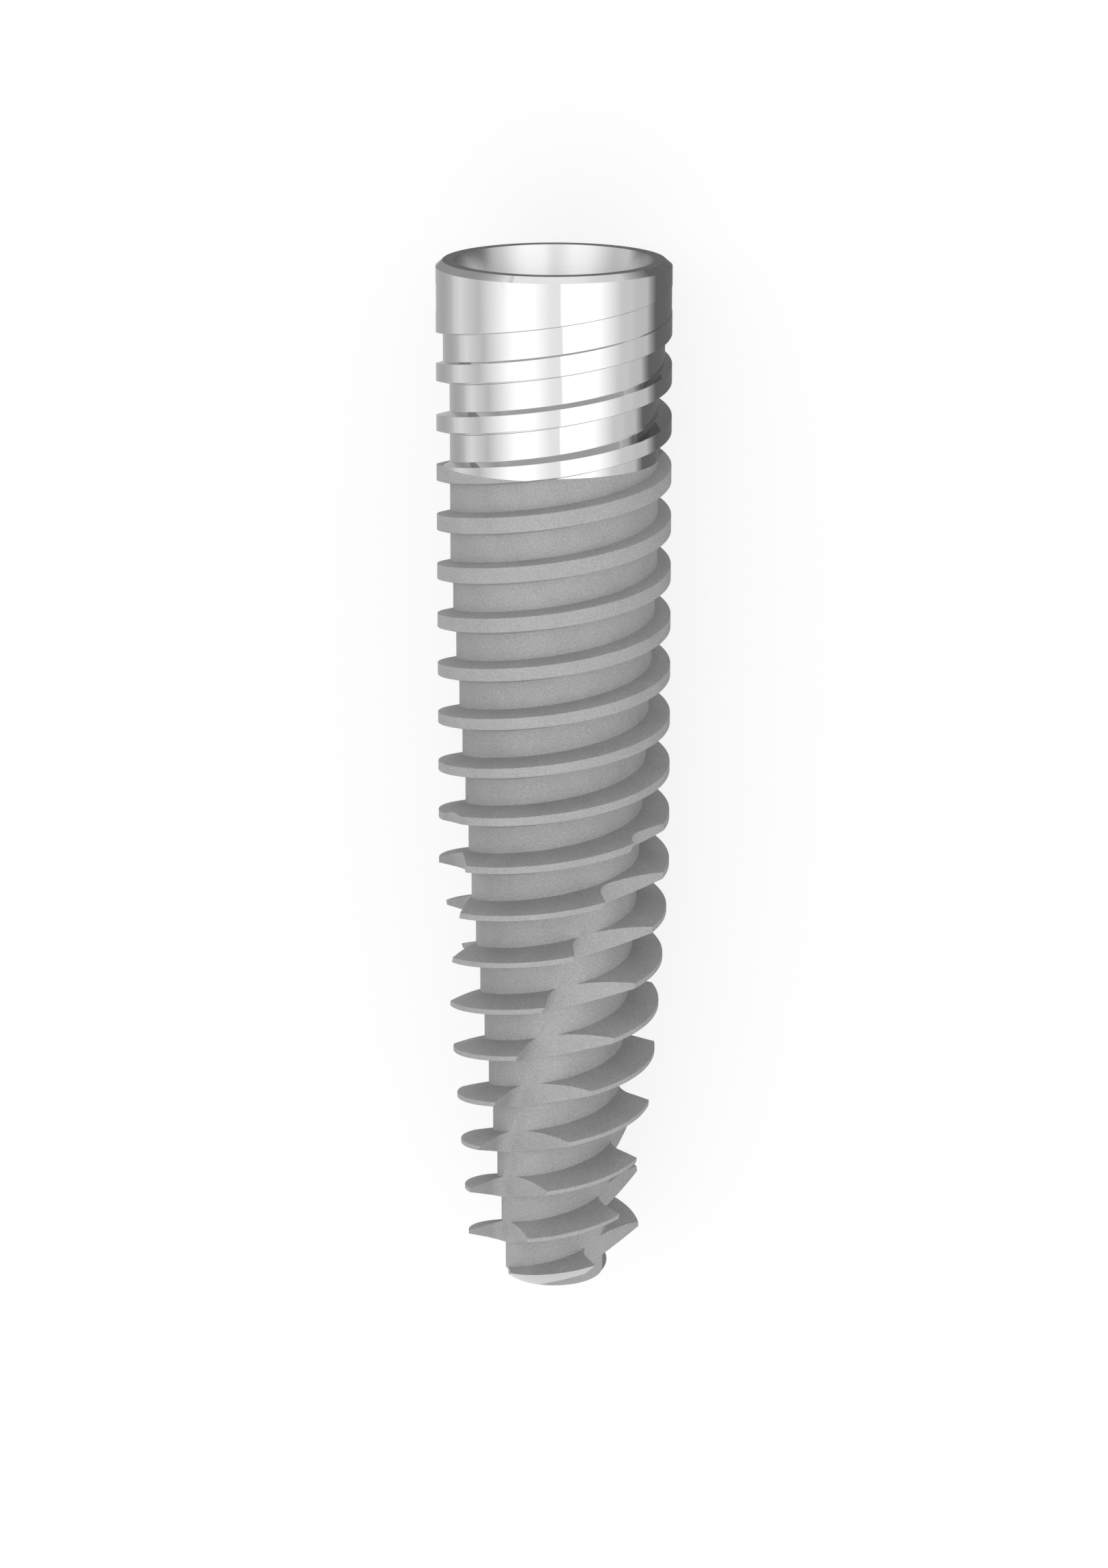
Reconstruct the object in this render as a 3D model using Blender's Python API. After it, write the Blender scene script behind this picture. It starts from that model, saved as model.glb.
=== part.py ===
import math

import bmesh
import bpy

# Sizes in millimetres. Depths are measured from the rim along the axis of the screw.
# The implant lies on the crests of its thread, rim toward +Y, tip toward -Y.
# REST_TURN is how far it has rolled about its own axis where it lies, in degrees.

LENGTH = 18.07
OUTER_DIAMETER = 4.0
REST_TURN = 12.0
RIM_BEVEL_WIDTH = 0.118
RIM_BEVEL_DEPTH = 0.102

# Outer envelope of the thread crests: a cylinder, then a slow taper, then a rounded nose.
TAPER_START = 10.78
CREST_TAPER_PER_MM = 0.0741
NOSE_HEIGHT = 0.666
NOSE_BULGE = 0.042
END_DIAMETER = 1.64

# Two-start right-hand thread.
THREAD_STARTS = 2
CREST_SPACING = 0.857
FIRST_CREST_DEPTH = 3.214
FLANK_ANGLE = 15.0
CREST_WIDTH_UPPER = 0.272
CREST_WIDTH_LOWER = 0.097
CREST_NARROWS_FROM = 4.93
CREST_NARROWS_TO = 10.93
CREST_THINNING_PER_MM = 0.0047

# Core of the screw, seen as the floor of the thread grooves.
GROOVE_DEPTH_UPPER = 0.228
GROOVE_RUNOUT_START = 0.59
GROOVE_RUNOUT_PER_MM = 0.132
CORE_TAPER_START = 5.02
CORE_TAPER_UPPER_PER_MM = 0.057
CORE_TAPER_CHANGE = 10.92
CORE_TAPER_LOWER_PER_MM = 0.0843

# Three helical cutting flutes in the lower half.
FLUTE_COUNT = 3
FLUTE_LEAD = 22.8
FLUTE_ANGLE = 39.0
FLUTE_ANGLE_DEPTH = 10.0
FLUTE_CORE_CUT = 0.02
FLUTE_CORNER_RADIUS = 0.24
FLUTE_RUNOUT_DEPTH = 11.68
FLUTE_RUNOUT_RADIUS = 6.58
FLUTE_WALL_SHIFT = 0.061
FLUTE_WALL_SHIFT_PER_MM = 0.0235
FLUTE_WALL_RUNOUT = 0.2

# Internal connection: seating cone, hexagon, screw bore.
RIM_LAND_WIDTH = 0.194
CONE_HALF_ANGLE = 11.5
CONE_DEPTH = 2.2
HEX_LEDGE = 0.03
HEX_HEIGHT = 1.9
BORE_DIAMETER = 1.6
BORE_LENGTH = 3.4
DRILL_TIP_ANGLE = 59.0

# How finely the round shapes are divided.
TURN_STEPS = 45
NOSE_STEPS = 4
FLUTE_SECTIONS = 24
FLUTE_FLOOR_STEPS = 2
FILLET_STEPS = 3

CUT_MARGIN = 0.1
OUTER_RADIUS = OUTER_DIAMETER / 2
AXIS_HEIGHT = OUTER_RADIUS
MM = 0.001


def clear_scene():
    for obj in list(bpy.data.objects):
        bpy.data.objects.remove(obj)


def polar(radius, angle, depth):
    """Point at an angle about the axis, at a depth from the rim, in metres."""
    turned = angle + math.radians(REST_TURN)
    x = radius * math.sin(turned)
    y = LENGTH / 2 - depth
    z = AXIS_HEIGHT + radius * math.cos(turned)
    return (x * MM, y * MM, z * MM)


def crest_radius(depth):
    """Envelope radius, without the nose."""
    past = max(depth - TAPER_START, 0.0)
    return OUTER_RADIUS - CREST_TAPER_PER_MM * past


def core_radius(depth):
    """Radius of the groove floor under the full thread."""
    upper = min(max(depth - CORE_TAPER_START, 0.0), CORE_TAPER_CHANGE - CORE_TAPER_START)
    lower = max(depth - CORE_TAPER_CHANGE, 0.0)
    full = OUTER_RADIUS - GROOVE_DEPTH_UPPER
    return full - CORE_TAPER_UPPER_PER_MM * upper - CORE_TAPER_LOWER_PER_MM * lower


def floor_radius(depth):
    """Radius of the groove floor, rising out of the body at the collar."""
    runout = OUTER_RADIUS - GROOVE_RUNOUT_PER_MM * (depth - GROOVE_RUNOUT_START)
    return max(runout, core_radius(depth))


def crest_width(depth):
    """Axial width of the flat crest, narrower toward the end."""
    share = (depth - CREST_NARROWS_FROM) / (CREST_NARROWS_TO - CREST_NARROWS_FROM)
    share = min(max(share, 0.0), 1.0)
    return CREST_WIDTH_UPPER + (CREST_WIDTH_LOWER - CREST_WIDTH_UPPER) * share


def crest_thinning(depth):
    """What the underside of the lower crests loses on top of that."""
    return CREST_THINNING_PER_MM * max(depth - CREST_NARROWS_TO, 0.0)


def mesh_object(name, mesh_data):
    """Turn a bmesh into a scene object with outward normals."""
    bmesh.ops.recalc_face_normals(mesh_data, faces=mesh_data.faces)
    mesh = bpy.data.meshes.new(name)
    mesh_data.to_mesh(mesh)
    mesh_data.free()
    obj = bpy.data.objects.new(name, mesh)
    bpy.context.scene.collection.objects.link(obj)
    return obj


def revolve(name, profile, steps):
    """Spin a list of (radius, depth) points that starts and ends on the axis."""
    shape = bmesh.new()
    half_step = math.pi / steps
    verts = [shape.verts.new(polar(r, half_step, d)) for r, d in profile]
    edges = [shape.edges.new(pair) for pair in zip(verts, verts[1:])]
    bmesh.ops.spin(
        shape,
        geom=verts + edges,
        cent=(0, 0, AXIS_HEIGHT * MM),
        axis=(0, 1, 0),
        angle=math.tau,
        steps=steps,
        use_merge=True,
    )
    bmesh.ops.remove_doubles(shape, verts=shape.verts, dist=1e-7)
    return mesh_object(name, shape)


def add_loft(shape, sections):
    """Skin equal-length rings of points and close both ends."""
    rings = [[shape.verts.new(point) for point in ring] for ring in sections]
    for lower, upper in zip(rings, rings[1:]):
        count = len(lower)
        for i in range(count):
            j = (i + 1) % count
            shape.faces.new((lower[i], lower[j], upper[j], upper[i]))
    shape.faces.new(rings[0])
    shape.faces.new(rings[-1])


def combine(body, helper, operation):
    """Shape the body with a helper and keep the helper out of renders."""
    modifier = body.modifiers.new(helper.name, "BOOLEAN")
    modifier.operation = operation
    modifier.solver = "EXACT"
    modifier.object = helper
    helper.hide_render = True
    helper.display_type = "WIRE"


def cone_end_radius():
    mouth = OUTER_RADIUS - RIM_BEVEL_WIDTH - RIM_LAND_WIDTH
    return mouth - CONE_DEPTH * math.tan(math.radians(CONE_HALF_ANGLE))


def nose_profile():
    """Flat end and rounded nose, carried on past the body."""
    end_radius = END_DIAMETER / 2
    nose_radius = crest_radius(LENGTH - NOSE_HEIGHT)
    widening = nose_radius - end_radius
    slant = math.hypot(widening, NOSE_HEIGHT)
    profile = [(0.0, LENGTH)]
    for i in range(NOSE_STEPS + 1):
        share = i / NOSE_STEPS
        bulge = NOSE_BULGE * 4 * share * (1 - share) / slant
        radius = end_radius + widening * share + NOSE_HEIGHT * bulge
        depth = LENGTH - NOSE_HEIGHT * share + widening * bulge
        profile.append((radius, min(depth, LENGTH)))
    outer = OUTER_RADIUS + CUT_MARGIN
    past = (outer - nose_radius) * NOSE_HEIGHT / widening
    profile.append((outer, LENGTH - NOSE_HEIGHT - past))
    return profile


def make_blank():
    """Turned outline that trims the thread, with the seating cone and the screw bore."""
    profile = nose_profile()
    bevel_slope = RIM_BEVEL_DEPTH / RIM_BEVEL_WIDTH
    profile.append((OUTER_RADIUS + CUT_MARGIN, RIM_BEVEL_DEPTH + CUT_MARGIN * bevel_slope))
    profile.append((OUTER_RADIUS - RIM_BEVEL_WIDTH, 0.0))
    profile.append((OUTER_RADIUS - RIM_BEVEL_WIDTH - RIM_LAND_WIDTH, 0.0))
    profile.append((cone_end_radius(), CONE_DEPTH))
    bore = BORE_DIAMETER / 2
    bore_end = CONE_DEPTH + HEX_HEIGHT + BORE_LENGTH
    profile.append((bore, CONE_DEPTH))
    profile.append((bore, bore_end))
    profile.append((0.0, bore_end + bore / math.tan(math.radians(DRILL_TIP_ANGLE))))
    return revolve("blank", profile, TURN_STEPS)


def groove_floor(depth):
    """Floor radius of a groove centred at this depth, level with the collar at its end."""
    return min(floor_radius(depth), crest_radius(depth + CREST_SPACING / 2))


def thread_section(angle, centre):
    """One crest and the groove below it at one angle, as four points going down."""
    slope = math.tan(math.radians(FLANK_ANGLE))
    above = centre - CREST_SPACING / 2
    groove = centre + CREST_SPACING / 2
    below = centre + CREST_SPACING
    crest = crest_radius(centre)
    floor = groove_floor(groove)
    full = core_radius(groove)
    underside = centre + crest_width(centre) / 2 - crest_thinning(centre)
    top_base = centre - crest_width(centre) / 2 - (crest - core_radius(above)) * slope
    bottom_base = underside + (crest - full) * slope
    below_base = below - crest_width(below) / 2 - (crest_radius(below) - full) * slope
    return [
        polar(crest, angle, top_base + (crest - groove_floor(above)) * slope),
        polar(crest, angle, bottom_base - (crest - floor) * slope),
        polar(floor, angle, bottom_base),
        polar(floor, angle, below_base),
    ]


def make_thread():
    """Threaded rod with crests on the envelope, longer than the body at both ends."""
    lead = CREST_SPACING * THREAD_STARTS
    rise = lead / TURN_STEPS
    first = -math.ceil((LENGTH + lead - FIRST_CREST_DEPTH) / rise) - TURN_STEPS
    last = math.ceil((FIRST_CREST_DEPTH + lead) / rise) + TURN_STEPS
    shape = bmesh.new()
    columns = []
    for i in range(first, last + 1):
        angle = math.tau * i / TURN_STEPS
        column = []
        for start in range(THREAD_STARTS):
            centre = FIRST_CREST_DEPTH + CREST_SPACING * start - i * rise
            column += [shape.verts.new(p) for p in thread_section(angle, centre)]
        columns.append(column)
    count = len(columns)
    for i in range(1, count):
        left, right = columns[i - 1], columns[i]
        if i > TURN_STEPS:
            left = left + [columns[i - 1 - TURN_STEPS][0]]
            right = right + [columns[i - TURN_STEPS][0]]
        for j in range(1, len(left)):
            shape.faces.new((left[j - 1], left[j], right[j], right[j - 1]))
    foot = [column[-1] for column in columns[: TURN_STEPS + 1]] + columns[0][:-1]
    head = [column[0] for column in columns[-TURN_STEPS - 1 :]] + columns[-1][1:]
    for rim in (foot, head):
        middle = shape.verts.new((0.0, rim[0].co.y, AXIS_HEIGHT * MM))
        for i in range(len(rim)):
            shape.faces.new((rim[i - 1], rim[i], middle))
    bmesh.ops.remove_doubles(shape, verts=shape.verts, dist=1e-7)
    return mesh_object("implant_body", shape)


def flute_lift(depth):
    """How far the flute has risen along the arc that ends it at the top."""
    rise = max(FLUTE_RUNOUT_DEPTH - depth, 0.0)
    return rise * rise / (2 * FLUTE_RUNOUT_RADIUS)


def flute_floor(depth):
    """Distance of the flat flute floor from the axis."""
    return core_radius(depth) - FLUTE_CORE_CUT + flute_lift(depth)


def flute_section(depth, turn):
    """L-shaped flute: steep cutting wall, rounded corner, flat floor beside it."""
    floor = flute_floor(depth)
    below = depth - FLUTE_RUNOUT_DEPTH
    wall = FLUTE_WALL_RUNOUT * flute_lift(depth)
    wall -= FLUTE_WALL_SHIFT + FLUTE_WALL_SHIFT_PER_MM * below
    reach = max(crest_radius(depth), floor) + 3 * CUT_MARGIN
    side = math.sqrt(reach * reach - floor * floor) + CUT_MARGIN
    outline = [(wall, reach)]
    for i in range(FILLET_STEPS + 1):
        bend = math.pi / 2 * i / FILLET_STEPS
        x = wall + FLUTE_CORNER_RADIUS * (1 - math.cos(bend))
        y = floor + FLUTE_CORNER_RADIUS * (1 - math.sin(bend))
        outline.append((x, y))
    corner = outline[-1][0]
    for i in range(1, FLUTE_FLOOR_STEPS + 1):
        outline.append((corner + (side - corner) * i / FLUTE_FLOOR_STEPS, floor))
    outline.append((side, reach))
    angle = math.radians(FLUTE_ANGLE) + math.tau * turn / FLUTE_COUNT
    angle -= math.tau * (depth - FLUTE_ANGLE_DEPTH) / FLUTE_LEAD
    points = []
    for x, y in outline:
        points.append(polar(math.hypot(x, y), angle + math.atan2(x, y), depth))
    return points


def make_flutes():
    """All the cutting flutes, from where they leave the body to past the end."""
    top = FLUTE_RUNOUT_DEPTH
    while flute_floor(top) < crest_radius(top) + CUT_MARGIN:
        top -= CUT_MARGIN
    bottom = LENGTH + 2 * CUT_MARGIN
    shape = bmesh.new()
    for turn in range(FLUTE_COUNT):
        sections = []
        for i in range(FLUTE_SECTIONS + 1):
            depth = bottom + (top - bottom) * i / FLUTE_SECTIONS
            sections.append(flute_section(depth, turn))
        add_loft(shape, sections)
    return mesh_object("flutes", shape)


def make_hexagon():
    """Hexagonal prism below the seating cone."""
    radius = cone_end_radius() - HEX_LEDGE
    shape = bmesh.new()
    rings = []
    for depth in (CONE_DEPTH + HEX_HEIGHT, CONE_DEPTH - CUT_MARGIN):
        rings.append([polar(radius, math.tau * i / 6, depth) for i in range(6)])
    add_loft(shape, rings)
    return mesh_object("hexagon", shape)


def titanium():
    material = bpy.data.materials.new("titanium")
    material.use_nodes = True
    shader = material.node_tree.nodes["Principled BSDF"]
    shader.inputs["Base Color"].default_value = (0.52, 0.52, 0.53, 1.0)
    shader.inputs["Metallic"].default_value = 1.0
    shader.inputs["Roughness"].default_value = 0.38
    return material


def smooth(body):
    """Smooth shading with edges kept crisp above a small angle."""
    mesh = body.data
    mesh.shade_smooth()
    mesh.set_sharp_from_angle(angle=math.radians(25))


clear_scene()
implant = make_thread()
combine(implant, make_blank(), "INTERSECT")
combine(implant, make_flutes(), "DIFFERENCE")
combine(implant, make_hexagon(), "DIFFERENCE")
implant.data.materials.append(titanium())
smooth(implant)
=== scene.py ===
import math

import bmesh
import bpy
from mathutils import Matrix, Vector


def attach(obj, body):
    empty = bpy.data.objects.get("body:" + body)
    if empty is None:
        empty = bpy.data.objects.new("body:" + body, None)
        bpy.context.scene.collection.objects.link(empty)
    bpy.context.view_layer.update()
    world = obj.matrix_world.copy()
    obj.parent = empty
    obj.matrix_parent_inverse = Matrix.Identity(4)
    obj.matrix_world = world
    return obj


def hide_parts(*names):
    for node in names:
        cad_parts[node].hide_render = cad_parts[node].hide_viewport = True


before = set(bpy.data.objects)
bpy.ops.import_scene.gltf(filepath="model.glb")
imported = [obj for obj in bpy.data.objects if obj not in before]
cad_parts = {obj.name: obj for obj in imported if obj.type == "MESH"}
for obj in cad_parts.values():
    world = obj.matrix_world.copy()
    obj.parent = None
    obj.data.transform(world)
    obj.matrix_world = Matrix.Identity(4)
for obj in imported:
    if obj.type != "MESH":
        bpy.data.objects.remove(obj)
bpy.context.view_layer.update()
print("frame loaded")

# the body is shaped in millimetres and brought to metres at the end
# angles run from the side seen in the photograph toward +X, depths from the rim along the axis
toMetres = 0.001

implant = {
    "length": 18.07,
    "outerRadius": 2.0,
    "axisHeight": 2.0,  # the implant lies on its crests, rim toward +Y
    "restTurn": 12.0,  # rolled toward +X about its own axis
    "rimBevelWidth": 0.118,
    "rimBevelDepth": 0.102,
    "taperStart": 10.78,  # crests are cylindrical above this depth
    "crestTaper": 0.0741,
    "noseHeight": 0.666,
    "noseBulge": 0.042,
    "noseSteps": 14,
    "endRadius": 0.82,
    "edgeChamfer": 0.004,
    "turnSteps": 120,
    "rodMargin": 0.5,  # the threaded rod reaches this far past both ends
    "blankMargin": 0.1,  # and the blank this far past the crests
}

# distances under which points count as one, and how close to a plane a point is on it
tolerance = {
    "weld": 1e-5,
    "rowWeld": 1e-4,
    "plane": 1e-6,
}


def place(radius, angle, depth):
    turned = angle + math.radians(implant["restTurn"])
    across, rise = radius * math.sin(turned), radius * math.cos(turned)
    return Vector((across, implant["length"] / 2 - depth, implant["axisHeight"] + rise))


def depthOf(co):
    return implant["length"] / 2 - co.y


def angleOf(co):
    return math.atan2(co.x, co.z - implant["axisHeight"]) - math.radians(implant["restTurn"])


def sweep(section, angle, rise, steps, closed):
    # spins (radius, angle, depth) points along a helix; the layer keeps each point's row
    bm = bmesh.new()
    row = bm.verts.layers.int.new("row")
    verts = [bm.verts.new(place(*point)) for point in section]
    for index, vert in enumerate(verts):
        vert[row] = index
    geom = verts + [bm.edges.new(pair) for pair in zip(verts, verts[1:])]
    if closed:
        geom.append(bm.faces.new(verts))
    bmesh.ops.spin(
        bm, geom=geom, cent=(0, 0, implant["axisHeight"]), axis=(0, 1, 0),
        dvec=(0, rise / steps, 0), angle=angle, steps=steps, use_merge=False, use_duplicate=False,
    )
    return bm, row


def finishMesh(bm, name):
    bmesh.ops.remove_doubles(bm, verts=bm.verts, dist=tolerance["weld"])
    bmesh.ops.recalc_face_normals(bm, faces=bm.faces)
    mesh = bpy.data.meshes.new(name)
    bm.to_mesh(mesh)
    bm.free()
    return linkMesh(name, mesh)


def linkMesh(name, mesh):
    obj = bpy.data.objects.new(name, mesh)
    bpy.context.scene.collection.objects.link(obj)
    return obj


longestChamfer = 0.45  # as a share of the side it is cut from


def chamfered(chain, widths):
    # each inner corner of the chain becomes two points, a chamfer that never fills its side
    cut = []
    for index in range(1, len(chain) - 1):
        corner = Vector(chain[index])
        for other in (chain[index - 1], chain[index + 1]):
            side = Vector(other) - corner
            reach = min(widths[index - 1], longestChamfer * side.length)
            cut.append(corner + side.normalized() * reach)
    return cut


thread = {
    "starts": 2,
    "spacing": 0.857,
    "firstCrest": 3.214,
    "flankAngle": 15.0,
    "landUpper": 0.272,  # axial width of the crest land
    "landLower": 0.097,
    "landNarrowsFrom": 4.93,
    "landNarrowsTo": 10.93,
    "landThinning": 0.0047,
    "grooveDepth": 0.228,
    "runoutStart": 0.59,  # the groove climbs out of the collar here
    "runoutSlope": 0.132,
    "coreTaperStart": 5.02,
    "coreTaperUpper": 0.057,
    "coreTaperChange": 10.92,
    "coreTaperLower": 0.0843,
    "crestChamfer": 0.004,
    "rootChamfer": 0.004,
    "spareTurns": 2,  # wound past each end, and trimmed off
}


def crestRadius(depth):
    return implant["outerRadius"] - implant["crestTaper"] * max(depth - implant["taperStart"], 0.0)


def coreRadius(depth):
    upperSpan = thread["coreTaperChange"] - thread["coreTaperStart"]
    upper = min(max(depth - thread["coreTaperStart"], 0.0), upperSpan)
    lower = max(depth - thread["coreTaperChange"], 0.0)
    full = implant["outerRadius"] - thread["grooveDepth"]
    return full - thread["coreTaperUpper"] * upper - thread["coreTaperLower"] * lower


def grooveFloor(depth):
    climb = implant["outerRadius"] - thread["runoutSlope"] * (depth - thread["runoutStart"])
    floor = max(climb, coreRadius(depth))
    return min(floor, crestRadius(depth + thread["spacing"] / 2))


def landWidth(depth):
    span = thread["landNarrowsTo"] - thread["landNarrowsFrom"]
    share = min(max((depth - thread["landNarrowsFrom"]) / span, 0.0), 1.0)
    return thread["landUpper"] + (thread["landLower"] - thread["landUpper"]) * share


def threadCorners(centre):
    # one crest land, then the groove floor on its tip side, as (radius, depth)
    slope = math.tan(math.radians(thread["flankAngle"]))
    above = centre - thread["spacing"] / 2
    groove = centre + thread["spacing"] / 2
    below = centre + thread["spacing"]
    crest, floor, full = crestRadius(centre), grooveFloor(groove), coreRadius(groove)
    thinning = thread["landThinning"] * max(centre - thread["landNarrowsTo"], 0.0)
    topBase = centre - landWidth(centre) / 2 - (crest - coreRadius(above)) * slope
    bottomBase = centre + landWidth(centre) / 2 - thinning + (crest - full) * slope
    belowBase = below - landWidth(below) / 2 - (crestRadius(below) - full) * slope
    return [
        (crest, topBase + (crest - grooveFloor(above)) * slope),
        (crest, bottomBase - (crest - floor) * slope),
        (floor, bottomBase),
        (floor, belowBase),
    ]


def threadSection(centre):
    previous = threadCorners(centre - thread["spacing"])
    following = threadCorners(centre + thread["spacing"])
    chain = [previous[-1]] + threadCorners(centre) + [following[0]]
    crest, root = thread["crestChamfer"], thread["rootChamfer"]
    return chamfered(chain, [crest, crest, root, root])


def makeThreadedRod():
    spacing, starts, steps = thread["spacing"], thread["starts"], implant["turnSteps"]
    lead = spacing * starts
    spare = thread["spareTurns"] * lead
    turns = math.ceil((implant["length"] + 2 * spare) / lead)
    lowest = implant["length"] + spare
    rows = len(threadSection(0.0))
    nominal = [spacing * index / rows for index in range(rows * starts + 1)]
    # the nominal rows only carry the helix; the loop below gives each its real radius and depth
    startCentre = thread["firstCrest"] + lead * math.ceil((lowest - thread["firstCrest"]) / lead)
    section = [(implant["outerRadius"], 0.0, startCentre + offset) for offset in nominal]
    bm, row = sweep(section, math.tau * turns, lead * turns, steps * turns, False)
    sections = {}
    for vert in bm.verts:
        index = vert[row]
        centre = depthOf(vert.co) - nominal[index] + spacing * (index // rows)
        key = round(centre, 4)
        if key not in sections:
            sections[key] = threadSection(centre)
        radius, depth = sections[key][index % rows]
        vert.co = place(radius, angleOf(vert.co), depth)
    bmesh.ops.remove_doubles(bm, verts=bm.verts, dist=tolerance["rowWeld"])
    end = implant["length"] / 2 + implant["rodMargin"]
    for side in (-1, 1):
        cut = bmesh.ops.bisect_plane(
            bm, geom=bm.verts[:] + bm.edges[:] + bm.faces[:], dist=tolerance["plane"],
            plane_co=(0, side * end, 0), plane_no=(0, side, 0), clear_outer=True,
        )
        rim = [item for item in cut["geom_cut"] if isinstance(item, bmesh.types.BMEdge)]
        bmesh.ops.holes_fill(bm, edges=rim, sides=0)
    return finishMesh(bm, "threadedRod")


socket = {
    "landWidth": 0.194,
    "coneAngle": 11.5,
    "coneDepth": 2.2,
    "hexLedge": 0.03,
    "hexHeight": 1.9,
    "hexRounding": 0.05,
    "hexRoundingSteps": 4,
    "hexMargin": 0.1,  # the hexagon's cutter reaches this far into the cone
    "boreRadius": 0.8,
    "boreLength": 3.4,
    "drillTip": 59.0,
    "threadPitch": 0.4,
    "threadRadius": 1.0,
    "threadStart": 0.12,  # below the hexagon
    "threadLength": 2.8,
    "threadMargin": 0.03,  # the groove's cutter reaches this far into the bore
    "grooveMouth": 0.42,  # half widths of the groove as shares of the pitch
    "grooveRoot": 0.08,
    "grooveAngle": 0.1,  # where its sweep begins round the axis, in radians
    "grooveSteps": 60,
}


def mouthRadius():
    return implant["outerRadius"] - implant["rimBevelWidth"] - socket["landWidth"]


def coneEndRadius():
    return mouthRadius() - socket["coneDepth"] * math.tan(math.radians(socket["coneAngle"]))


def boreEnd():
    return socket["coneDepth"] + socket["hexHeight"] + socket["boreLength"]


def noseOutline():
    # from the middle of the flat tip round the bulged nose, and on past the crests
    length, end, steps = implant["length"], implant["endRadius"], implant["noseSteps"]
    noseTop = length - implant["noseHeight"]
    widening = crestRadius(noseTop) - end
    slant = math.hypot(widening, implant["noseHeight"])
    points = [(0.0, length)]
    for index in range(steps + 1):
        share = index / steps
        bulge = implant["noseBulge"] * 4 * share * (1 - share) / slant  # greatest halfway
        radius = end + widening * share + implant["noseHeight"] * bulge
        depth = length - implant["noseHeight"] * share + widening * bulge
        points.append((radius, min(depth, length)))
    outer = implant["outerRadius"] + implant["blankMargin"]
    past = outer - crestRadius(noseTop)
    points.append((outer, noseTop - past * implant["noseHeight"] / widening))
    return points


def makeBlank():
    # trims the rod to its outer form and holds the socket
    bevelSlope = implant["rimBevelDepth"] / implant["rimBevelWidth"]
    bore, edge, margin = socket["boreRadius"], implant["edgeChamfer"], implant["blankMargin"]
    points = noseOutline()
    bevelStart = implant["rimBevelDepth"] + margin * bevelSlope
    points.append((implant["outerRadius"] + margin, bevelStart))
    chain = [
        points[-1],
        (implant["outerRadius"] - implant["rimBevelWidth"], 0.0),
        (mouthRadius(), 0.0),
        (coneEndRadius(), socket["coneDepth"]),
        (bore, socket["coneDepth"]),
        (bore, boreEnd()),
    ]
    points += [tuple(point) for point in chamfered(chain, [edge] * 4)]
    points.append((bore, boreEnd()))
    points.append((0.0, boreEnd() + bore / math.tan(math.radians(socket["drillTip"]))))
    bm = bmesh.new()
    steps = implant["turnSteps"]
    verts = [bm.verts.new(place(radius, math.pi / steps, depth)) for radius, depth in points]
    edges = [bm.edges.new(pair) for pair in zip(verts, verts[1:])]
    bmesh.ops.spin(
        bm, geom=verts + edges, cent=(0, 0, implant["axisHeight"]), axis=(0, 1, 0),
        angle=math.tau, steps=steps, use_merge=True, use_duplicate=False,
    )
    return finishMesh(bm, "turnedBlank")


def makeHexagon():
    # a prism with rounded edges, from the hexagon's floor up into the cone
    bm = bmesh.new()
    bottom = place(0.0, 0.0, socket["coneDepth"] + socket["hexHeight"])
    rolled = Matrix.Rotation(math.radians(implant["restTurn"]), 4, "Y")
    lay = Matrix.Translation(bottom) @ rolled @ Matrix.Rotation(-math.pi / 2, 4, "X")
    radius = coneEndRadius() - socket["hexLedge"]
    made = bmesh.ops.create_circle(bm, cap_ends=True, segments=6, radius=radius, matrix=lay)
    base = list(made["verts"][0].link_faces)
    grown = bmesh.ops.extrude_face_region(bm, geom=base, use_keep_orig=True)
    moved = [item for item in grown["geom"] if isinstance(item, bmesh.types.BMVert)]
    height = socket["hexHeight"] + socket["hexMargin"]
    bmesh.ops.translate(bm, verts=moved, vec=(0, height, 0))
    lengthwise = [
        edge for edge in bm.edges if abs(edge.verts[0].co.y - edge.verts[1].co.y) > height / 2
    ]
    bmesh.ops.bevel(
        bm, geom=lengthwise, offset=socket["hexRounding"], segments=socket["hexRoundingSteps"],
        profile=0.5, affect="EDGES", material=-1,
    )
    return finishMesh(bm, "hexagonCut")


def makeBoreThread():
    # a V groove as a tap cuts it below the hexagon
    pitch = socket["threadPitch"]
    turns = round(socket["threadLength"] / pitch)
    ledge = socket["coneDepth"] + socket["hexHeight"]
    start = ledge + socket["threadStart"] + socket["threadLength"]
    inner, outer = socket["boreRadius"] - socket["threadMargin"], socket["threadRadius"]
    wide, narrow = socket["grooveMouth"] * pitch, socket["grooveRoot"] * pitch
    groove = [(inner, -wide), (outer, -narrow), (outer, narrow), (inner, wide)]
    section = [(radius, socket["grooveAngle"], start + offset) for radius, offset in groove]
    steps = socket["grooveSteps"] * turns
    bm = sweep(section, math.tau * turns, pitch * turns, steps, True)[0]
    return finishMesh(bm, "boreThreadCut")


flute = {
    "count": 3,
    "lead": 22.8,
    "angle": 39.0,  # at the depth below
    "angleDepth": 10.0,
    "coreCut": 0.02,
    "cornerRadius": 0.24,
    "runoutDepth": 11.68,
    "runoutRadius": 6.58,
    "wallShift": 0.061,
    "wallShiftSlope": 0.0235,
    "wallRunout": 0.2,
    "sections": 90,
    "filletSteps": 8,
    "floorSteps": 6,
    "wallMargin": 0.3,  # the cutter reaches this far past the crests, outward
    "floorMargin": 0.1,  # and across
    "tipMargin": 0.2,  # past the tip
    "topMargin": 0.1,  # and is clear of the crests by this much where it begins
    "topSearch": 0.1,  # steps in which that depth is looked for
}


def fluteLift(depth):
    return max(flute["runoutDepth"] - depth, 0.0) ** 2 / (2 * flute["runoutRadius"])


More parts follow.
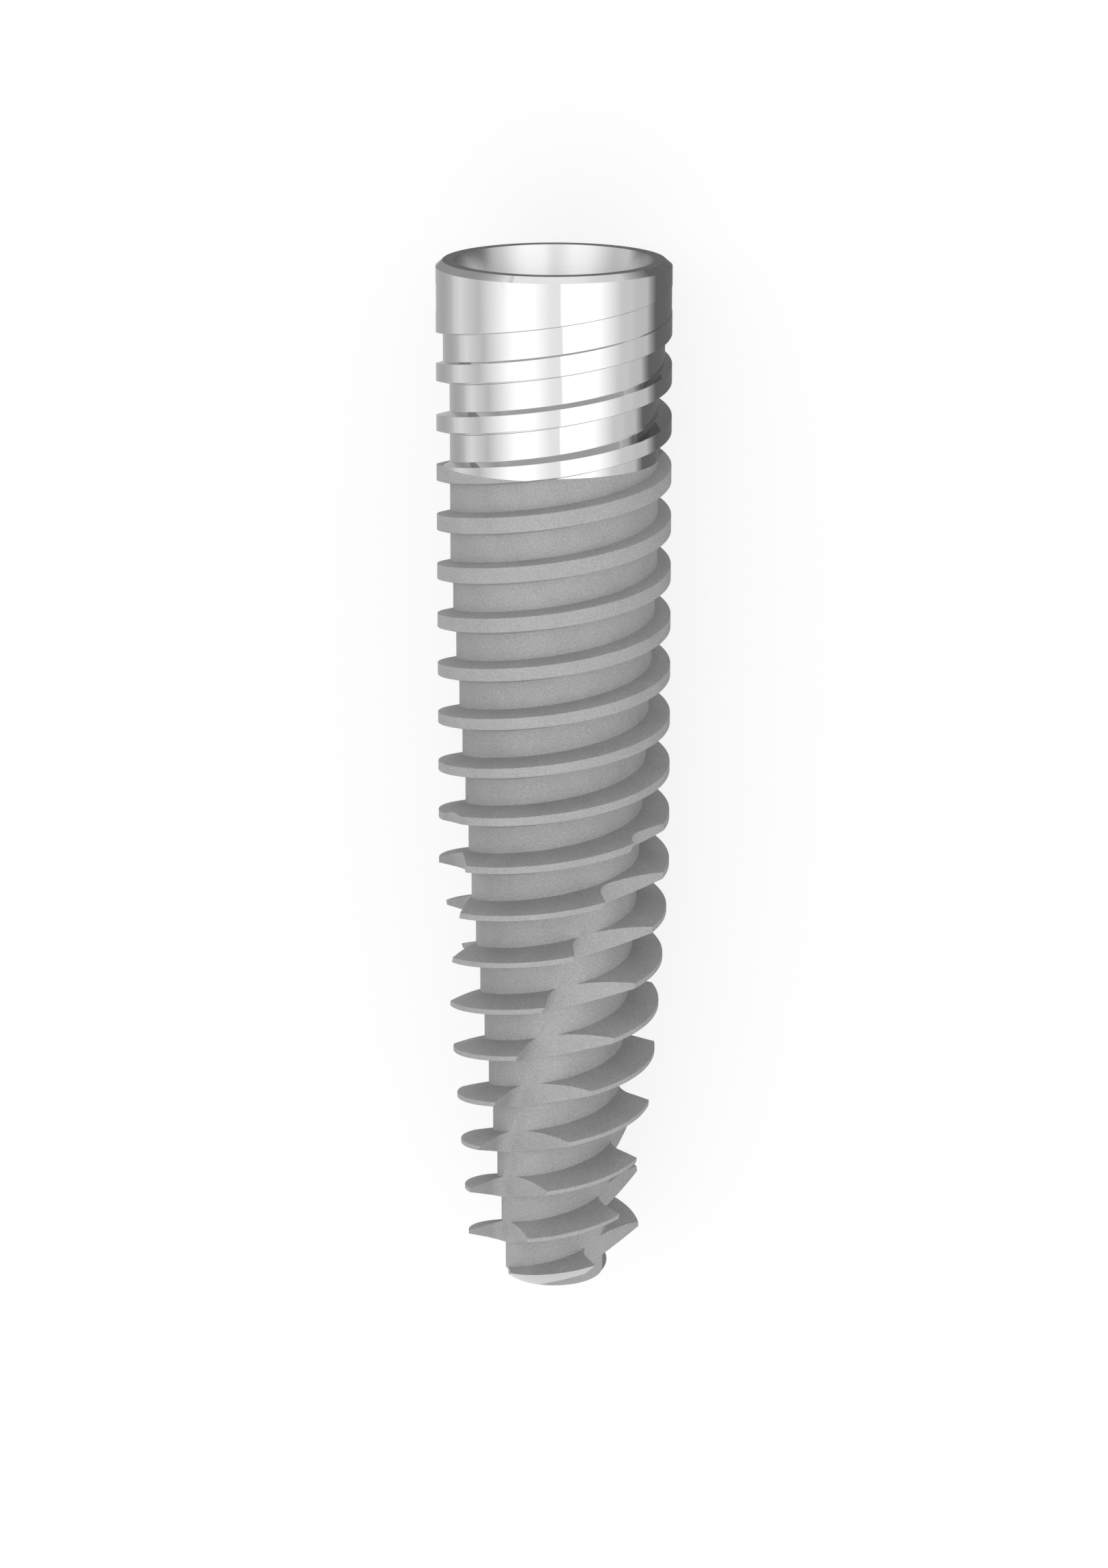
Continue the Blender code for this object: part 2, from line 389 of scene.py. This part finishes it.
def fluteFloor(depth):
    return coreRadius(depth) - flute["coreCut"] + fluteLift(depth)


def fluteSection(depth):
    # steep wall, rounded corner and flat floor, as (across, outward) in the flute's own frame
    floor, corner = fluteFloor(depth), flute["cornerRadius"]
    wall = flute["wallRunout"] * fluteLift(depth) - flute["wallShift"]
    wall -= flute["wallShiftSlope"] * (depth - flute["runoutDepth"])
    reach = max(crestRadius(depth), floor) + flute["wallMargin"]
    side = math.sqrt(reach * reach - floor * floor) + flute["floorMargin"]
    outline = [(wall, reach)]
    for index in range(flute["filletSteps"] + 1):
        bend = math.pi / 2 * index / flute["filletSteps"]
        across = wall + corner * (1 - math.cos(bend))
        outline.append((across, floor + corner * (1 - math.sin(bend))))
    for index in range(1, flute["floorSteps"] + 1):
        across = wall + corner + (side - wall - corner) * index / flute["floorSteps"]
        outline.append((across, floor))
    outline.append((side, reach))
    return outline


def fluteAngle(depth, turn):
    start = math.radians(flute["angle"]) + math.tau * turn / flute["count"]
    return start - math.tau * (depth - flute["angleDepth"]) / flute["lead"]


def makeFlute(turn, top, bottom):
    # the sweep only carries the helix; the loop gives each point the section of its own depth
    def polar(point, depth):
        angle = fluteAngle(depth, turn) + math.atan2(*point)
        return math.hypot(*point), angle, depth

    rise = bottom - top
    section = [polar(point, bottom) for point in fluteSection(bottom)]
    bm, row = sweep(section, math.tau * rise / flute["lead"], rise, flute["sections"], True)
    for vert in bm.verts:
        depth = depthOf(vert.co)
        vert.co = place(*polar(fluteSection(depth)[vert[row]], depth))
    return finishMesh(bm, f"fluteCut{turn}")


def makeFlutes():
    top, bottom = flute["runoutDepth"], implant["length"] + flute["tipMargin"]
    while fluteFloor(top) < crestRadius(top) + flute["topMargin"]:
        top -= flute["topSearch"]
    return [makeFlute(turn, top, bottom) for turn in range(flute["count"])]


finish = {
    "seamDepth": 3.412,  # machined above, blasted below
    "creaseAngle": 15.0,
    "noseFacing": (0.35, 0.93),  # how far a face of the turned nose looks toward the tip
    "noseMargin": 0.05,
    "boreMargin": 0.6,  # deep enough for the drill's tip
    "boreReach": 1.5,  # a radius between the bore and the outer form
}


def carve(body, tools, operation):
    # one collection of tools, so that a single Boolean makes all its cuts
    group = bpy.data.collections.new("carvingTools")
    for tool in tools:
        group.objects.link(tool)
    modifier = body.modifiers.new("carve", "BOOLEAN")
    modifier.operation = operation
    modifier.solver = "EXACT"
    modifier.operand_type = "COLLECTION"
    modifier.collection = group


def applyCarving(body, tools):
    graph = bpy.context.evaluated_depsgraph_get()
    carved = bpy.data.meshes.new_from_object(body.evaluated_get(graph))
    body.modifiers.clear()
    body.data = carved
    for tool in tools:
        bpy.data.objects.remove(tool)
    for group in list(bpy.data.collections):
        if group.name.startswith("carvingTools"):
            bpy.data.collections.remove(group)


def surfaceKind(face):
    # 0 polished, 1 blasted, 2 satin: the inside of the socket and the turned nose
    centre = face.calc_center_median()
    depth = depthOf(centre)
    radius = math.hypot(centre.x, centre.z - implant["axisHeight"])
    inBore = depth < boreEnd() + finish["boreMargin"] and radius < finish["boreReach"]
    inCone = depth < socket["coneDepth"] and radius < mouthRadius()
    if inBore or inCone:
        return 2
    if depth > implant["length"] - implant["noseHeight"] - finish["noseMargin"]:
        steepest, flattest = finish["noseFacing"]
        return 2 if steepest < -face.normal.y < flattest else 1
    return 0 if depth < finish["seamDepth"] else 1


def makeBody(materials):
    body = makeThreadedRod()
    print("threaded rod spun:", len(body.data.polygons), "faces")
    trims = [makeBlank()]
    cutters = makeFlutes() + [makeHexagon(), makeBoreThread()]
    carve(body, trims, "INTERSECT")
    carve(body, cutters, "DIFFERENCE")
    applyCarving(body, trims + cutters)
    print("body trimmed and cut:", len(body.data.polygons), "faces")
    bm = bmesh.new()
    bm.from_mesh(body.data)
    bmesh.ops.bisect_plane(
        bm, geom=bm.verts[:] + bm.edges[:] + bm.faces[:], dist=tolerance["plane"],
        plane_co=(0, implant["length"] / 2 - finish["seamDepth"], 0), plane_no=(0, 1, 0),
    )
    # the long faces that the cuts leave are split here, so that none folds onto itself later
    bmesh.ops.triangulate(bm, faces=[face for face in bm.faces if len(face.verts) > 4])
    bm.normal_update()
    for face in bm.faces:
        face.material_index = surfaceKind(face)
    bmesh.ops.scale(bm, vec=(toMetres, toMetres, toMetres), verts=bm.verts)
    mesh = bpy.data.meshes.new("implantBody")
    for material in materials:
        mesh.materials.append(material)
    bm.to_mesh(mesh)
    bm.free()
    body.data = mesh
    body.name = "implantBody"
    mesh.shade_smooth()
    mesh.set_sharp_from_angle(angle=math.radians(finish["creaseAngle"]))
    return body


grain = {
    "fineDetail": 2.0,
    "broadDetail": 3.0,
    "broadScale": 0.06,  # of the fine scale
    "broadShare": 0.25,
    "middle": 0.5,  # noise at this level changes nothing
}


def makeGrainGroup():
    # fine speckle in tone, roughness and height, from object coordinates
    group = bpy.data.node_groups.new("fineGrain", "ShaderNodeTree")
    for label, kind in (("Scale", "NodeSocketFloat"), ("Tone", "NodeSocketColor"),
                        ("Tone Spread", "NodeSocketFloat"), ("Roughness", "NodeSocketFloat"),
                        ("Roughness Spread", "NodeSocketFloat")):
        group.interface.new_socket(label, in_out="INPUT", socket_type=kind)
    for label, kind in (("Color", "NodeSocketColor"), ("Roughness", "NodeSocketFloat"),
                        ("Height", "NodeSocketFloat")):
        group.interface.new_socket(label, in_out="OUTPUT", socket_type=kind)
    nodes, links = group.nodes, group.links
    entry, leave = nodes.new("NodeGroupInput"), nodes.new("NodeGroupOutput")
    coords = nodes.new("ShaderNodeTexCoord")
    fine, broad = nodes.new("ShaderNodeTexNoise"), nodes.new("ShaderNodeTexNoise")
    fine.inputs["Detail"].default_value = grain["fineDetail"]
    broad.inputs["Detail"].default_value = grain["broadDetail"]
    broadScale = nodes.new("ShaderNodeMath")
    broadScale.operation = "MULTIPLY"
    broadScale.inputs[1].default_value = grain["broadScale"]
    links.new(entry.outputs["Scale"], fine.inputs["Scale"])
    links.new(entry.outputs["Scale"], broadScale.inputs[0])
    links.new(broadScale.outputs[0], broad.inputs["Scale"])
    for noise in (fine, broad):
        links.new(coords.outputs["Object"], noise.inputs["Vector"])
    mixed = nodes.new("ShaderNodeMix")
    mixed.data_type = "FLOAT"
    mixed.inputs["Factor"].default_value = grain["broadShare"]
    links.new(fine.outputs["Fac"], mixed.inputs["A"])
    links.new(broad.outputs["Fac"], mixed.inputs["B"])
    centred = nodes.new("ShaderNodeMath")
    centred.operation = "SUBTRACT"
    centred.inputs[1].default_value = grain["middle"]
    links.new(mixed.outputs["Result"], centred.inputs[0])
    toneShift, roughShift = nodes.new("ShaderNodeMath"), nodes.new("ShaderNodeMath")
    for shift, spread in ((toneShift, "Tone Spread"), (roughShift, "Roughness Spread")):
        shift.operation = "MULTIPLY_ADD"
        links.new(centred.outputs[0], shift.inputs[0])
        links.new(entry.outputs[spread], shift.inputs[1])
    toneShift.inputs[2].default_value = 1.0
    links.new(entry.outputs["Roughness"], roughShift.inputs[2])
    tinted = nodes.new("ShaderNodeVectorMath")
    tinted.operation = "SCALE"
    links.new(entry.outputs["Tone"], tinted.inputs[0])
    links.new(toneShift.outputs[0], tinted.inputs["Scale"])
    links.new(tinted.outputs["Vector"], leave.inputs["Color"])
    links.new(roughShift.outputs[0], leave.inputs["Roughness"])
    links.new(mixed.outputs["Result"], leave.inputs["Height"])
    return group


def makeMetal(name, grainGroup, look):
    material = bpy.data.materials.new(name)
    material.use_nodes = True
    nodes, links = material.node_tree.nodes, material.node_tree.links
    shader = nodes["Principled BSDF"]
    shader.inputs["Metallic"].default_value = look["metallic"]
    group = nodes.new("ShaderNodeGroup")
    group.node_tree = grainGroup
    group.inputs["Scale"].default_value = look["grainScale"]
    group.inputs["Tone"].default_value = (*look["tone"], 1.0)
    group.inputs["Tone Spread"].default_value = look["toneSpread"]
    group.inputs["Roughness"].default_value = look["roughness"]
    group.inputs["Roughness Spread"].default_value = look["roughnessSpread"]
    links.new(group.outputs["Color"], shader.inputs["Base Color"])
    links.new(group.outputs["Roughness"], shader.inputs["Roughness"])
    bump = nodes.new("ShaderNodeBump")
    bump.inputs["Strength"].default_value = look["bumpStrength"]
    bump.inputs["Distance"].default_value = look["bumpDistance"]
    links.new(group.outputs["Height"], bump.inputs["Height"])
    links.new(bump.outputs["Normal"], shader.inputs["Normal"])
    return material


polished = {
    "metallic": 1.0,
    "tone": (0.555, 0.555, 0.56),
    "toneSpread": 0.03,
    "roughness": 0.07,
    "roughnessSpread": 0.04,
    "grainScale": 26000.0,
    "bumpStrength": 0.05,
    "bumpDistance": 0.000001,
}

blasted = {
    "metallic": 0.42,  # blasting leaves a matt skin that scatters light almost evenly
    "tone": (0.353, 0.353, 0.355),
    "toneSpread": 0.9,
    "roughness": 0.65,
    "roughnessSpread": 0.2,
    "grainScale": 34000.0,
    "bumpStrength": 0.35,
    "bumpDistance": 0.000008,
}

satin = {
    "metallic": 1.0,
    "tone": (0.55, 0.55, 0.553),
    "toneSpread": 0.08,
    "roughness": 0.26,
    "roughnessSpread": 0.1,
    "grainScale": 45000.0,
    "bumpStrength": 0.08,
    "bumpDistance": 0.000003,
}

fineGrain = makeGrainGroup()
metals = [
    makeMetal("polishedTitanium", fineGrain, polished),
    makeMetal("blastedTitanium", fineGrain, blasted),
    makeMetal("satinTitanium", fineGrain, satin),
]
print("metals made")

implantBody = makeBody(metals)
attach(implantBody, "root")
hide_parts("implant_body")
print("implant body done:", len(implantBody.data.polygons), "faces")

# in metres: a white floor under white surroundings
studio = {
    "floorTone": 0.25,
    "floorGlow": 0.77,
    "floorHalfSide": 1.2,
    "worldTone": 1.0,
}

# curved reflection cards above the body, that only gloss sees, in metres; azimuths run from
# the camera's side toward the right of the picture, in degrees, and each card fades evenly
# from one (azimuth, glow) knot to the next
arch = {
    "distance": 0.055,  # from the implant's axis
    "tipEnd": -0.03,  # where the cards begin and end along the axis
    "rimEnd": 0.035,
}

archCards = {
    "leftGapCard": [(-103.9, 1.2), (-77, 0.84), (-44, 1.8)],
    "leftSoftbox": [(-44, 1.8), (-24, 1.95), (-4, 1.4), (6.4, 1.35)],
    "rightSoftbox": [(6.4, 1.95), (40, 1.95), (68, 1.0), (79.9, 0.98)],
}

# strips of floor that only gloss sees, in millimetres: an edge, the way it is pushed out,
# the height above the floor and (distance, glow) knots on that way
floorCards = {
    "leftFloorCard": {
        "edge": ((-1.95, -9), (-1.95, 9.1)), "away": (-1, 0), "lift": 0.02,
        "profile": [(0, 0.55), (4, 0.6), (17, 1.05), (53, 1.15)],
    },
    "leftRimCard": {
        "edge": ((-1.95, 9.1), (-1.95, 11.5)), "away": (-1, 0), "lift": 0.02,
        "profile": [(0, 0.3), (2.5, 0.45), (53, 0.5)],
    },
    "rightFloorCard": {
        "edge": ((-1.95, -9), (-1.95, 11.5)), "away": (1, 0), "lift": 0.02,
        "profile": [(0, 0.2), (7, 0.2), (10, 0.85), (57, 1.0)],
    },
    "leftFrontCard": {
        "edge": ((-60, 11.5), (0, 11.5)), "away": (0, 1), "lift": 0.02,
        "profile": [(0, 0.48), (6, 0.48), (46, 1.2), (78, 1.35)],
    },
    "rightFrontCard": {
        "edge": ((0, 11.5), (60, 11.5)), "away": (0, 1), "lift": 0.02,
        "profile": [(0, 0.25), (4.5, 1.05), (32, 1.35), (78, 1.4)],
    },
    "rimFloorCard": {
        "edge": ((-2.9, 9.05), (2.3, 9.05)), "away": (0, 1), "lift": 0.03,
        "profile": [(0, 0.18), (0.8, 0.18)],
    },
}

# a round card beyond the rim, in metres
topCard = {"distance": 0.09, "radius": 0.03, "glow": 1.4, "segments": 48}

axisMetres = implant["axisHeight"] * toMetres
knotTolerance = 1e-3  # so that a card's last points fall on its last knot


def knotGlow(profile, at):
    # straight lines between the knots
    for (low, first), (high, second) in zip(profile, profile[1:]):
        if at <= high + knotTolerance:
            return first + (second - first) * max(at - low, 0.0) / (high - low)
    return profile[-1][1]


def makeCardMaterial():
    material = bpy.data.materials.new("reflectionCard")
    material.use_nodes = True
    nodes, links = material.node_tree.nodes, material.node_tree.links
    nodes.remove(nodes["Principled BSDF"])
    glow, attribute = nodes.new("ShaderNodeEmission"), nodes.new("ShaderNodeAttribute")
    attribute.attribute_name = "glow"
    links.new(attribute.outputs["Fac"], glow.inputs["Strength"])
    links.new(glow.outputs["Emission"], nodes["Material Output"].inputs["Surface"])
    return material


def finishCard(bm, name, glowAt):
    # the glow is kept on the points, and the card is hidden from all but gloss
    mesh = bpy.data.meshes.new(name)
    bm.to_mesh(mesh)
    bm.free()
    glow = mesh.attributes.new("glow", "FLOAT", "POINT")
    for vert in mesh.vertices:
        glow.data[vert.index].value = glowAt(vert.co)
    mesh.materials.append(cardMaterial)
    card = linkMesh(name, mesh)
    card.visible_camera = False
    card.visible_diffuse = False
    card.visible_shadow = False
    card.visible_transmission = False


def makeArchCard(name, profile):
    # an edge along the implant, spun round its axis a degree at a time
    start, end = profile[0][0], profile[-1][0]
    turned = math.radians(start + implant["restTurn"])
    across, rise = arch["distance"] * math.sin(turned), arch["distance"] * math.cos(turned)
    ends = (arch["tipEnd"], arch["rimEnd"])
    bm = bmesh.new()
    verts = [bm.verts.new((across, along, axisMetres + rise)) for along in ends]
    bmesh.ops.spin(
        bm, geom=verts + [bm.edges.new(verts)], cent=(0, 0, axisMetres), axis=(0, 1, 0),
        angle=math.radians(end - start), steps=round(end - start),
        use_merge=False, use_duplicate=False,
    )

    def glowAt(co):
        azimuth = math.degrees(math.atan2(co.x, co.z - axisMetres)) - implant["restTurn"]
        return knotGlow(profile, azimuth)

    finishCard(bm, name, glowAt)


def makeFloorCard(name, card):
    # the edge is extruded outward band by band
    away, profile = Vector((*card["away"], 0.0)), card["profile"]
    bm = bmesh.new()
    verts = [bm.verts.new((x, y, card["lift"])) for x, y in card["edge"]]
    first = verts[0].co.dot(away)
    edge = bm.edges.new(verts)
    for inner, outer in zip(profile, profile[1:]):
        grown = bmesh.ops.extrude_edge_only(bm, edges=[edge])["geom"]
        edge = next(item for item in grown if isinstance(item, bmesh.types.BMEdge))
        bmesh.ops.translate(bm, verts=edge.verts[:], vec=away * (outer[0] - inner[0]))
    bmesh.ops.scale(bm, vec=(toMetres, toMetres, toMetres), verts=bm.verts)
    finishCard(bm, name, lambda co: knotGlow(profile, co.dot(away) / toMetres - first))


def makeTopCard():
    bm = bmesh.new()
    lay = Matrix.Translation((0, topCard["distance"], axisMetres))
    bmesh.ops.create_circle(
        bm, cap_ends=True, segments=topCard["segments"], radius=topCard["radius"],
        matrix=lay @ Matrix.Rotation(math.pi / 2, 4, "X"),
    )
    finishCard(bm, "topSoftbox", lambda co: topCard["glow"])


cardMaterial = makeCardMaterial()
for name, profile in archCards.items():
    makeArchCard(name, profile)
for name, card in floorCards.items():
    makeFloorCard(name, card)
makeTopCard()
print("cards made")


def makeFloor():
    # a matt floor that glows, so that it looks white and keeps only a faint shadow
    bm = bmesh.new()
    bmesh.ops.create_grid(bm, x_segments=1, y_segments=1, size=studio["floorHalfSide"])
    mesh = bpy.data.meshes.new("studioFloor")
    bm.to_mesh(mesh)
    bm.free()
    material = bpy.data.materials.new("paleFloor")
    material.use_nodes = True
    shader = material.node_tree.nodes["Principled BSDF"]
    tone = studio["floorTone"]
    shader.inputs["Base Color"].default_value = (tone, tone, tone, 1.0)
    shader.inputs["Roughness"].default_value = 1.0
    shader.inputs["Specular IOR Level"].default_value = 0.0
    shader.inputs["Emission Color"].default_value = (1.0, 1.0, 1.0, 1.0)
    shader.inputs["Emission Strength"].default_value = studio["floorGlow"]
    mesh.materials.append(material)
    linkMesh("studioFloor", mesh)


makeFloor()

world = bpy.data.worlds.new("studioWorld")
bpy.context.scene.world = world
world.use_nodes = True
background = world.node_tree.nodes["Background"]
tone = studio["worldTone"]
background.inputs["Color"].default_value = (tone, tone, tone, 1.0)
print("studio made")

# the camera looks down on the lying implant, a little toward its tip, as the photograph does;
# distances are in metres, lens and sensor in millimetres
view = {
    "distance": 0.084584,
    "tilt": 14.933,
    "aimAlong": -0.000107,
    "lens": 112.15,
    "sensorWidth": 36.0,
    "clipStart": 0.001,
    "clipEnd": 10.0,
}

tilt = math.radians(view["tilt"])
roll = Matrix.Rotation(math.radians(implant["restTurn"]), 4, "Y")
cameraData = bpy.data.cameras.new("photoCamera")
cameraData.sensor_fit = "AUTO"
cameraData.sensor_width = view["sensorWidth"]
cameraData.lens = view["lens"]
cameraData.clip_start = view["clipStart"]
cameraData.clip_end = view["clipEnd"]
camera = bpy.data.objects.new("photoCamera", cameraData)
fromAxis = Vector((0, view["distance"] * math.sin(tilt), view["distance"] * math.cos(tilt)))
camera.location = roll @ fromAxis + Vector((0, view["aimAlong"], axisMetres))
camera.rotation_euler = (roll @ Matrix.Rotation(-tilt, 4, "X")).to_euler()
bpy.context.scene.collection.objects.link(camera)
bpy.context.scene.camera = camera
bpy.context.scene.view_settings.view_transform = "Standard"
print("camera set")
